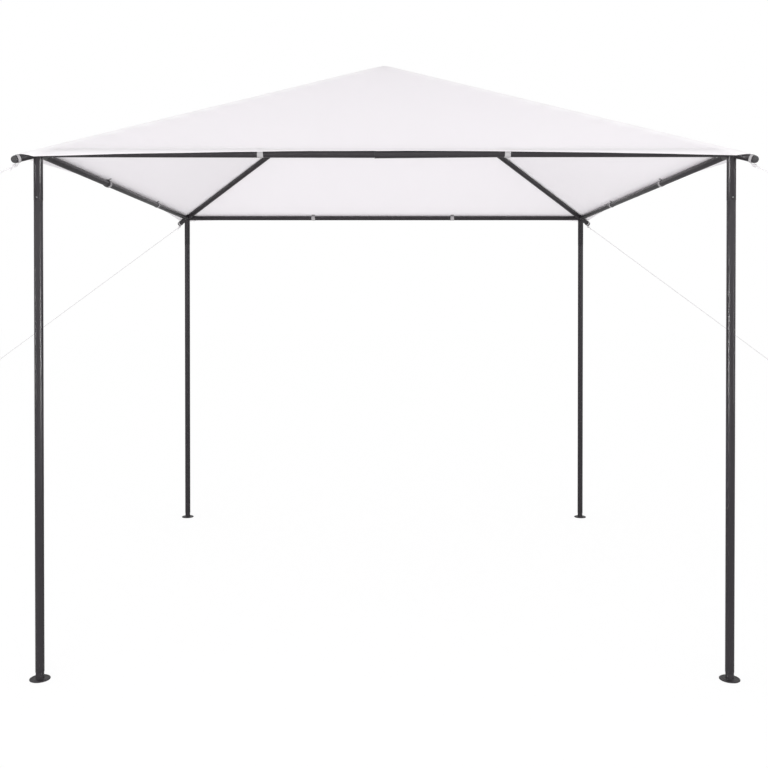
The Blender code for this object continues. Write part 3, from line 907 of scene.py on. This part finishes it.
# The guy ropes: 5 mm white braided cord, knotted to the corner loops and pulled taut to the pegs.
# A plastic runner on each takes up the slack: below it, the rope is doubled and passes round the peg.
ROPE_RADIUS = 0.0025
PLAIT_LENGTH = 0.008
KNOT_WRAPS = 3
DOUBLED_LENGTH = 0.55
RUNNER_SIZE = (0.0138, 0.008, 0.045)
PEG_PLACE = (5.10, 3.15)
PEG_RADIUS = 0.003
HEIGHT_ON_PEG = 0.022
braid, maths, shader = finish_and_shader("white braided rope")
strand = maths.node("TexCoord", output="UV")
strand_u = maths.node("SeparateXYZ", values={0: strand}, output="X")
strand_v = maths.node("SeparateXYZ", values={0: strand}, output="Y")
one_way = maths.math("SINE", (strand_u * 4.0 + strand_v) * tau)
other_way = maths.math("SINE", (strand_u * 4.0 - strand_v) * tau)
plait = maths.math("MAXIMUM", one_way, other_way)
# The colour follows the plait: the strands are painted darker where they dip, as painted shade in the
# grooves.
painted_shade_colour = blend_colours(maths, plait * 0.5 + 0.5, (0.50, 0.485, 0.50), (0.62, 0.602, 0.62))
painted_shade_colour.into(shader, "Base Color")
shader.inputs["Roughness"].default_value = 0.75
texture = maths.node("Bump", None, {"Strength": 0.3, "Distance": 0.0003, "Height": plait})
texture.into(shader, "Normal")


def bent_rod(points, radius, roundness, smooth):
    """A cord or wire with closed ends that runs along points, either in one smooth curve or straight."""
    bpy.ops.curve.primitive_nurbs_path_add()
    path = bpy.context.object
    path.data.splines.clear()
    spline = path.data.splines.new("NURBS" if smooth else "POLY")
    spline.points.add(len(points) - 1)
    for point, co in zip(spline.points, points):
        point.co = (*co, 1.0)
    if smooth:
        spline.order_u = 3
        spline.use_endpoint_u = True
        spline.resolution_u = 4
    path.data.bevel_depth = radius
    path.data.bevel_resolution = roundness
    path.data.use_fill_caps = True
    bpy.ops.object.convert(target="MESH")
    rod = bpy.context.object
    choose(rod, "FACE", lambda face: True)
    bpy.ops.mesh.remove_doubles(threshold=0.00001)
    alone(rod)
    return rod


for corner, (x, y) in CORNERS.items():
    peg_foot = Vector((x * PEG_PLACE[0], y * PEG_PLACE[1], 0.0))
    knot_place = on_hip(corner, LOOP_REACH)
    slope_normal = (UP - up_hip(corner) * up_hip(corner).z).normalized()
    top = knot_place - slope_normal * (tube_radius + 0.0006 + LOOP_THICKNESS + ROPE_RADIUS)
    aim = peg_foot + UP * HEIGHT_ON_PEG
    run = (aim - top).normalized()
    level = Vector((run.x, run.y, 0.0))
    bottom = aim - run * ((PEG_RADIUS + 0.0003 - ROPE_RADIUS * run.z) / level.length)
    sideways = run.cross(UP).normalized()
    across_run = run.cross(sideways).normalized()
    runner_place = bottom - run * DOUBLED_LENGTH
    bpy.ops.mesh.primitive_cylinder_add(
        vertices=12, radius=ROPE_RADIUS, depth=(runner_place - top).length + 0.03,
        location=(top + runner_place) / 2 + run * 0.015, rotation=run.to_track_quat("Z", "Y").to_euler(),
    )
    rope = bpy.context.object
    past_peg = sideways * (PEG_RADIUS + ROPE_RADIUS + 0.0006)
    peg_back = aim + level.normalized() * (PEG_RADIUS + ROPE_RADIUS + 0.0004)
    doubled = []
    for sign in (-1.0, 1.0):
        start = runner_place + sideways * (sign * 0.0035)
        middle = bottom - run * 0.02 + past_peg * sign
        doubled.append([start, start + run * 0.04 + sideways * (sign * 0.001), middle - run * 0.2, middle])
    loop_points = doubled[0] + [aim - past_peg, peg_back, aim + past_peg] + doubled[1][::-1]
    coil_points = []
    for i in range(KNOT_WRAPS * 12 + 1):
        turn = tau * i / 12
        coil_points.append(top + run * (0.012 + 0.0056 * i / 12)
                           + (sideways * cos(turn) + across_run * sin(turn)) * (2 * ROPE_RADIUS + 0.0002))
    short_end = coil_points[-1]
    coil_points += [short_end + run * 0.005 - UP * 0.002, short_end + run * 0.010 - UP * 0.006,
                    short_end + run * 0.015 - UP * 0.012]
    bends = [bent_rod(points, ROPE_RADIUS, 1, smooth=True) for points in (loop_points, coil_points)]

    # The plait follows each stretch of rope: the UV map's first number goes round it, the second along it.
    plaits = (runner_place - top).length * 2 / PLAIT_LENGTH
    for spot in rope.data.uv_layers[0].uv:
        spot.vector.y *= plaits
    for bend in bends:
        plaits = max(bend.dimensions) / PLAIT_LENGTH
        for spot in bend.data.uv_layers[0].uv:
            spot.vector = (spot.vector.y, spot.vector.x * plaits)
    settle(join([rope] + bends), "rope_" + corner, braid)
    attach(rope, "root")
    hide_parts("guy_rope_" + corner)

    bpy.ops.mesh.primitive_cube_add(size=1.0)
    runner = bpy.context.object
    runner.scale = RUNNER_SIZE
    bpy.ops.object.transform_apply(location=False, rotation=False, scale=True)
    choose(runner, "FACE", lambda face: True)
    bpy.ops.mesh.bevel(offset=0.0028, segments=4, affect="EDGES")
    alone(runner)
    turned = Matrix((sideways, across_run, run)).transposed().to_4x4()
    runner.matrix_world = Matrix.Translation(runner_place) @ turned
    settle(runner, "rope_runner_" + corner, satin_plastic)
    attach(runner, "root")


# The pegs: round zinc plated wire, pushed into the ground, with the top turned over into a hook.
# The hook opens downwards, on the side away from the gazebo, so that the rope can't slip off.
HOOK_RADIUS = 0.011
HOOK_HEIGHT = 0.037
for corner, (x, y) in CORNERS.items():
    foot = Vector((x * PEG_PLACE[0], y * PEG_PLACE[1], 0.0))
    top = on_hip(corner, LOOP_REACH)
    outward = Vector((foot.x - top.x, foot.y - top.y, 0.0)).normalized()
    centre = foot + outward * HOOK_RADIUS + UP * HOOK_HEIGHT
    points = [foot, foot + UP * HOOK_HEIGHT * 0.5, foot + UP * HOOK_HEIGHT * 0.85]
    points += [centre - outward * (HOOK_RADIUS * cos(pi * i / 10)) + UP * (HOOK_RADIUS * sin(pi * i / 10))
               for i in range(11)]
    points += [centre + outward * HOOK_RADIUS - UP * 0.003, centre + outward * HOOK_RADIUS - UP * 0.0055]
    peg = bent_rod(points, PEG_RADIUS, 5, smooth=False)
    work(peg, "cut ends", "BEVEL", width=0.0006, segments=2, limit_method="ANGLE", angle_limit=radians(50))
    settle(peg, "peg_" + corner, bright_zinc)
    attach(peg, "root")
    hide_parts("ground_peg_" + corner)
